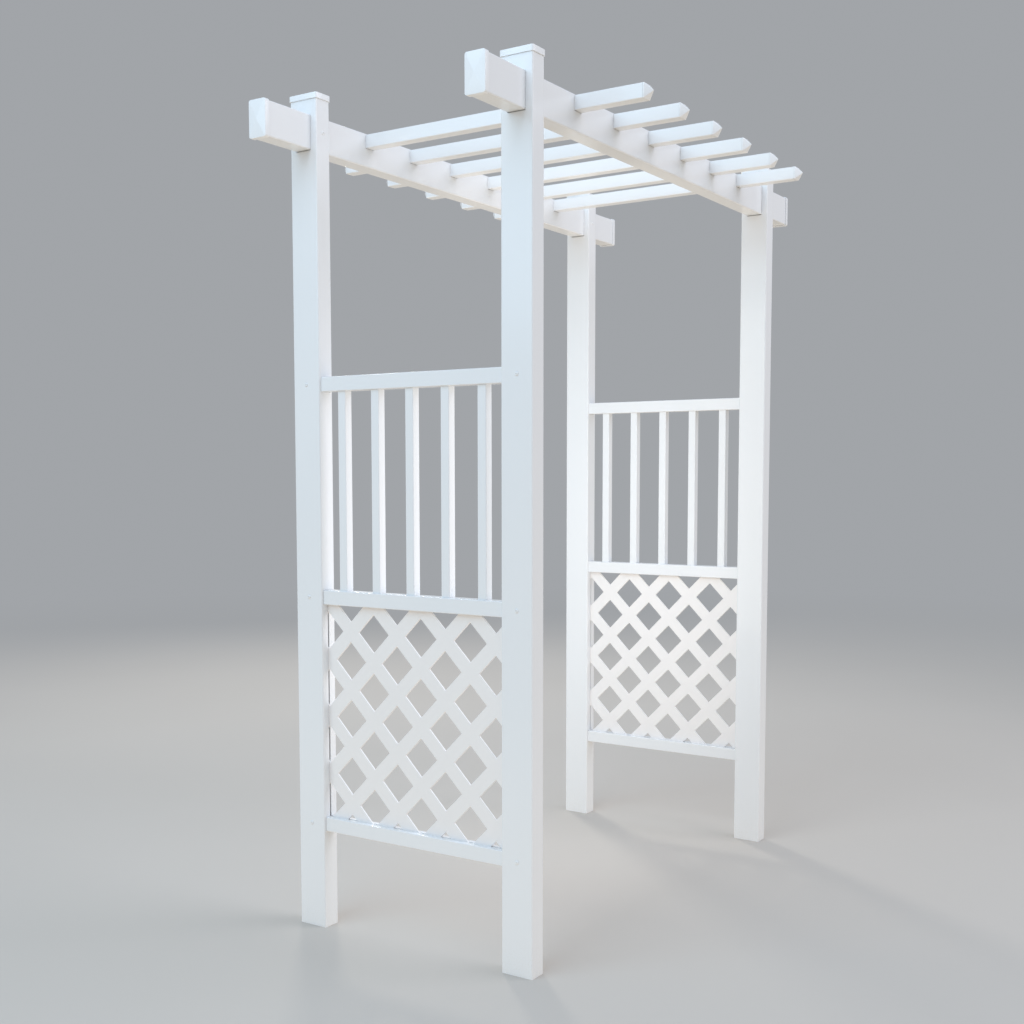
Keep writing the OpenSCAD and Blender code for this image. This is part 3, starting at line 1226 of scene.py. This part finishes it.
@dataclass
class Studio:
    """Floor, lamps and surrounding light."""

    floor_size: float = 400.0
    floor_cells: int = 8
    surround: Colour = (0.8, 0.885, 1.0)
    surround_strength: float = 0.7
    backdrop: Colour = (0.36, 0.375, 0.395)
    floor_tone: Colour = (0.59, 0.55, 0.505)
    floor_mottle: Colour = (0.56, 0.52, 0.475)
    floor_bounce: Colour = (0.58, 0.52, 0.44)
    floor_glow: Colour = (1.0, 0.76, 0.48)
    floor_glow_strength: float = 0.66
    lamps: list[Lamp] = field(default_factory=lambda: [
        Lamp("sky_left", (-4.6, 0.9, 4.2), (0.0, 0.0, 1.6), (4.5, 4.5), 107.0,
             (0.555, 0.815, 1.0)),
        Lamp("front", (0.9, -3.7, 4.1), (0.0, 0.0, 1.7), (3.4, 2.4), 66.0, (0.93, 0.92, 1.0)),
        Lamp("sky_top", (-1.5, -0.2, 3.4), (0.1, 0.0, 2.1), (1.2, 1.2), 6.5, (0.85, 0.89, 1.0)),
        Lamp("inner_right", (-0.2, 0.0, 1.25), (1.0, 0.0, 1.25), (0.5, 1.3), 2.4,
             (1.0, 0.935, 0.85)),
        Lamp("inner_rear", (-0.2, -0.34, 0.95), (-0.2, 1.0, 0.95), (0.8, 1.1), 3.0,
             (0.97, 0.98, 1.0)),
        Lamp("sun_rear", (3.6, 4.2, 3.8), (0.0, 0.0, 1.2), (0.8, 0.8), 84.0, (1.0, 0.97, 0.91)),
    ])

    def build(self) -> None:
        """Builds the floor, the lamps and the world."""
        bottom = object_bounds()[0].z
        mesh = bmesh.new()
        bmesh.ops.create_grid(mesh, x_segments=self.floor_cells, y_segments=self.floor_cells,
                              size=self.floor_size / 2)
        data = bpy.data.meshes.new("floor")
        mesh.to_mesh(data)
        mesh.free()
        floor = bpy.data.objects.new("floor", data)
        floor.location.z = min(bottom, 0.0)
        bpy.context.scene.collection.objects.link(floor)
        finish = StudioFloor("floor_pale", self.floor_tone, self.floor_mottle, self.backdrop,
                             self.floor_bounce, self.floor_glow, self.floor_glow_strength)
        data.materials.append(finish.build())
        floor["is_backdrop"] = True
        for lamp in self.lamps:
            lamp.build()
        self._world()

    def _world(self) -> None:
        """Lights the object evenly and shows a plain backdrop to the camera."""
        world = bpy.data.worlds.new("studio")
        bpy.context.scene.world = world
        world.use_nodes = True
        g = Graph(world.node_tree)
        light = g.node("ShaderNodeBackground", {},
                       {"Color": opaque(self.surround), "Strength": self.surround_strength})
        seen = g.node("ShaderNodeBackground", {},
                      {"Color": opaque(self.backdrop), "Strength": 1.0})
        both = g.node("ShaderNodeMixShader", {}, {0: seen_directly(g), 1: light, 2: seen})
        g.node("ShaderNodeOutputWorld", {}, {"Surface": both})


@dataclass
class View:
    """The camera at the photograph's view: angles in degrees, focal length and centre in pixels."""

    place: tuple[float, float, float] = (-3.2446, -1.9912, 1.2128)
    heading: float = -56.969
    tilt: float = -4.35
    focal_pixels: float = 1270.84
    centre: tuple[float, float] = (524.19, 574.49)
    sensor: float = 36.0
    nearest: float = 0.05
    furthest: float = 200.0

    def build(self) -> bpy.types.Object:
        """Builds the camera and makes it the scene's.

        Returns:
            The camera.
        """
        data = bpy.data.cameras.new("photo_view")
        data.sensor_fit = "HORIZONTAL"
        data.sensor_width = self.sensor
        data.lens = self.focal_pixels / PICTURE * self.sensor
        data.shift_x = (PICTURE / 2 - self.centre[0]) / PICTURE
        data.shift_y = (self.centre[1] - PICTURE / 2) / PICTURE
        data.clip_start = self.nearest
        data.clip_end = self.furthest
        camera = bpy.data.objects.new("photo_view", data)
        camera.location = self.place
        camera.rotation_euler = (math.radians(90 + self.tilt), 0.0, math.radians(self.heading))
        bpy.context.scene.collection.objects.link(camera)
        bpy.context.scene.camera = camera
        return camera


def main() -> None:
    """Builds the pieces, the finishes and the stage in order."""
    logging.basicConfig(level=logging.INFO, format="%(name)s: %(message)s")
    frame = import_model()
    bpy.context.scene.view_settings.view_transform = "Standard"

    copies = CopyTree()
    for group in Caps(copies, MouldedVinyl("vinyl_cap").build()).build():
        log.info("%s: %d faces", group.name, len(group.data.polygons))
    for group in Screws(copies, ScrewPaint("painted_screw").build()).build():
        log.info("%s: %d faces", group.name, len(group.data.polygons))
    sheet_tree = SheetTree()
    sheet_finish = SheetVinyl("vinyl_sheet").build()
    for side in Side:
        sheet = LatticePanel(side, sheet_tree, sheet_finish).build()
        log.info("%s: %d faces", sheet.name, len(sheet.data.polygons))
    log.info("bars dressed: %d", Bars(frame["nodes"]).dress())

    Studio().build()
    View().build()


if __name__ == "__main__":
    main()
